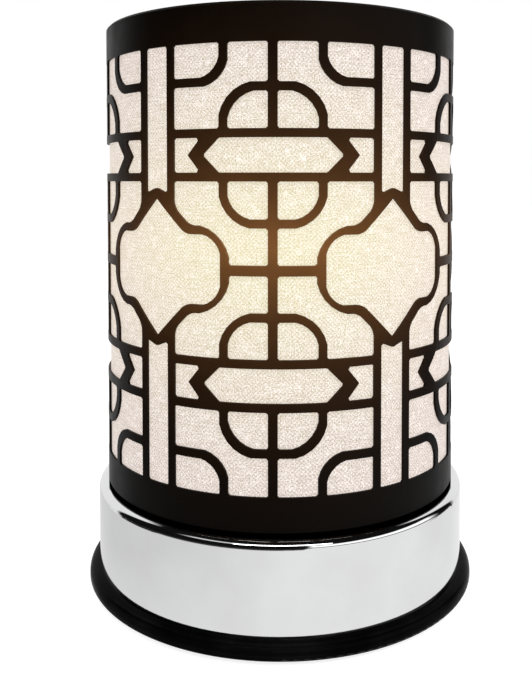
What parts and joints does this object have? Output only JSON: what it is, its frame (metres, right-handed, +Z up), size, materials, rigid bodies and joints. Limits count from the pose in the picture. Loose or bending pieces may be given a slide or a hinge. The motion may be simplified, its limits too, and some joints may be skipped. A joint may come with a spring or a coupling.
{
  "type": "electric wax warmer",
  "caption": "Touch-lamp wax warmer: pierced dark metal shade with a fabric liner on a chromed drum base, spot lamp under a glass wax dish.",
  "frame": {"origin": "on the table under the middle of the drum, at the underside of the feet", "axes": "+Z up, front of the lattice panel towards -Y, cord inlet towards +Y"},
  "size_m": [0.1264, 0.1264, 0.1785],
  "materials": {
    "black_flange": "glossy moulded black",
    "chrome": "bright chrome plate",
    "plate_paint": "matt black paint",
    "rubber": "soft matt rubber",
    "zinc_steel": "zinc-plated steel",
    "terminal_plastic": "moulded cream plastic",
    "brass": "bright brass",
    "case_plastic": "moulded black plastic",
    "board_laminate": "green laminate",
    "chip_black": "moulded epoxy",
    "film_capacitor": "dipped red epoxy",
    "red_insulation": "insulated wire",
    "white_sleeving": "glass-fibre sleeving",
    "black_insulation": "insulated wire",
    "silicone": "heat-resisting silicone",
    "ceramic": "unglazed steatite",
    "reflector_glass": "silvered glass",
    "clear_glass": "clear pressed glass",
    "lamp_quartz": "lit quartz capsule",
    "bronze_paint": "satin dark bronze paint",
    "liner_fabric": "sparkling cream woven fabric",
    "dish_glass": "clear pressed glass"
  },
  "bodies": {
    "stand": {"base_flange": "black_flange", "base_shell": "chrome", "bottom_plate": "plate_paint", "rubber_feet": "rubber", "cover_screws": "zinc_steel", "standoff_posts": "zinc_steel", "cord_grommet": "rubber", "terminal_block": "terminal_plastic", "terminal_screws": "brass", "dimmer_case": "case_plastic", "dimmer_lid": "case_plastic", "dimmer_board": "board_laminate", "touch_chip": "chip_black", "triac": "chip_black", "capacitor": "film_capacitor", "touch_tag": "brass", "touch_lead": "red_insulation", "lamp_leads": "white_sleeving", "supply_lead": "black_insulation", "lead_bush": "silicone", "lampholder_bracket": "zinc_steel", "bracket_screws": "zinc_steel", "bracket_nuts": "zinc_steel", "lampholder": "ceramic", "lampholder_screws": "zinc_steel", "lampholder_contacts": "brass", "shade_sleeve": "bronze_paint", "fabric_liner": "liner_fabric", "shade_foot_ring": "zinc_steel", "shade_screws": "zinc_steel", "dish_ring": "bronze_paint"},
    "lamp": {"lamp_cap": "ceramic", "lamp_pins": "zinc_steel", "lamp_capsule": "lamp_quartz", "lamp_reflector": "reflector_glass", "lamp_front_glass": "clear_glass"},
    "dish": {"glass_dish": "dish_glass"}
  },
  "joints": [
    {"name": "dish_lift", "type": "slide", "parent": "stand", "child": "dish", "axis": [0, 0, 1], "range_m": [0, 0.06]},
    {"name": "lamp_twist", "type": "hinge", "parent": "stand", "child": "lamp", "pos_m": [0, 0, 0.059], "axis": [0, 0, 1], "range_deg": [0, 40]}
  ]
}
